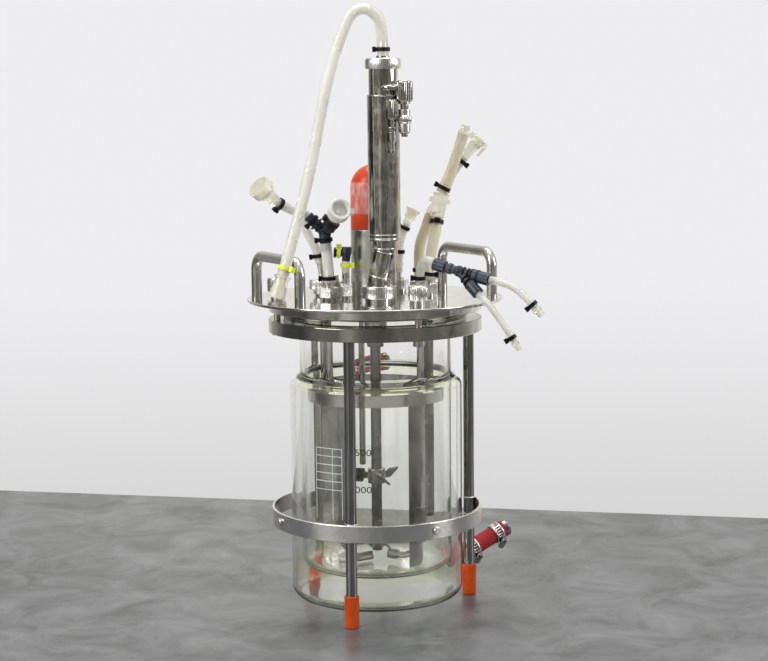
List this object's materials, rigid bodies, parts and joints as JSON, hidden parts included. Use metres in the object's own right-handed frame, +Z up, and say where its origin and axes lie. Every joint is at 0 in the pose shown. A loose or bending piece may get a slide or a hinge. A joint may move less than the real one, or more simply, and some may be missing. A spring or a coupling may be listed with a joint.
{
  "type": "bench bioreactor",
  "caption": "Bench stirred-tank bioreactor: jacketed glass vessel on a leg stand, steel head plate with condenser, stirrer drive, port fittings and silicone tubing.",
  "frame": {"origin": "on the bench, on the vessel's vertical axis", "axes": "+Z up along the stirrer shaft, +X towards the right-hand handle, -Y towards the front, where the condenser stands"},
  "size_m": [0.2673, 0.2449, 0.5406],
  "materials": {
    "vessel_glass": "clear borosilicate glass",
    "seal_rubber": "pale silicone gasket",
    "polished_steel": "polished stainless steel",
    "satin_steel": "satin stainless steel",
    "wetted_steel": "fine-ground stainless steel",
    "orange_rubber": "orange-red vinyl, slightly glossy",
    "silicone": "translucent silicone",
    "clear_plastic": "clear, slightly yellowed plastic",
    "white_plastic": "milky white plastic",
    "dark_plastic": "dark blue-grey plastic",
    "black_nylon": "black nylon",
    "yellow_nylon": "fluorescent yellow nylon",
    "red_rubber": "red woven-faced rubber",
    "clamp_steel": "bright zinc-plated steel"
  },
  "bodies": {
    "vessel_and_stand": {"jacketed_vessel": "vessel_glass", "vessel_seal": "seal_rubber", "head_plate": "polished_steel", "condenser": "polished_steel", "exhaust_barb": "polished_steel", "coolant_outlet": "polished_steel", "coolant_inlet": "polished_steel", "clamp_nuts": "polished_steel", "port_nuts": "polished_steel", "port_stems": "polished_steel", "clamp_ring": "satin_steel", "clamp_bolts": "satin_steel", "leg_front": "satin_steel", "leg_right": "satin_steel", "leg_rear": "satin_steel", "support_ring": "satin_steel", "ring_screws": "satin_steel", "handle_left": "satin_steel", "handle_right": "satin_steel", "drive_housing": "satin_steel", "baffle_cage": "wetted_steel", "sparger_pipe": "wetted_steel", "harvest_pipe": "wetted_steel", "sensor_sleeve": "wetted_steel", "dip_pipes": "wetted_steel", "shaft_gland": "wetted_steel", "shaft_bearings": "wetted_steel", "foot_caps": "orange_rubber", "exhaust_hose": "silicone", "addition_tube": "silicone", "twin_tube_front": "silicone", "twin_tube_rear": "silicone", "tall_tube": "silicone", "sample_tube_long": "silicone", "sample_tube_short": "silicone", "silicone_sleeves": "silicone", "exhaust_coupling": "clear_plastic", "twin_coupling": "clear_plastic", "small_couplings": "clear_plastic", "tube_tips": "clear_plastic", "cup_coupling": "white_plastic", "ring_coupling": "white_plastic", "left_y_connector": "dark_plastic", "right_y_connector": "dark_plastic", "tee_fitting": "dark_plastic", "black_ties": "black_nylon", "yellow_ties": "yellow_nylon", "coolant_hoses": "red_rubber", "hose_clamps": "clamp_steel", "hose_plugs": "clamp_steel"},
    "stirrer": {"stirrer_shaft": "wetted_steel", "drive_hub": "wetted_steel", "upper_impeller": "wetted_steel", "lower_impeller": "wetted_steel"},
    "cap": {"drive_cap": "orange_rubber"},
    "union_nut": {"condenser_union_nut": "polished_steel"},
    "top_nut": {"condenser_top_nut": "polished_steel"},
    "coupling_sleeve": {"outlet_sleeve": "polished_steel"},
    "latch": {"ring_latch": "white_plastic"}
  },
  "joints": [
    {"name": "stirrer_spin", "type": "hinge", "parent": "vessel_and_stand", "child": "stirrer", "pos_m": [0, 0, 0.2], "axis": [0, 0, 1], "continuous": true},
    {"name": "drive_cap_pull", "type": "slide", "parent": "vessel_and_stand", "child": "cap", "axis": [0, 0, 1], "range_m": [0, 0.1]},
    {"name": "condenser_union_nut_turn", "type": "hinge", "parent": "vessel_and_stand", "child": "union_nut", "pos_m": [-0.01827, -0.04222, 0.29], "axis": [0, 0, 1], "range_deg": [0, 360]},
    {"name": "condenser_top_nut_turn", "type": "hinge", "parent": "vessel_and_stand", "child": "top_nut", "pos_m": [-0.01337, -0.04493, 0.487], "axis": [0, 0, 1], "range_deg": [0, 360]},
    {"name": "outlet_sleeve_slide", "type": "slide", "parent": "vessel_and_stand", "child": "coupling_sleeve", "axis": [0, 0, 1], "range_m": [0, 0.003], "stiffness_N_per_m": 300, "springref_m": -0.002},
    {"name": "ring_latch_press", "type": "slide", "parent": "vessel_and_stand", "child": "latch", "axis": [-0.9627, 0.244, 0.1167], "range_m": [0, 0.001], "stiffness_N_per_m": 600, "springref_m": -0.001}
  ]
}
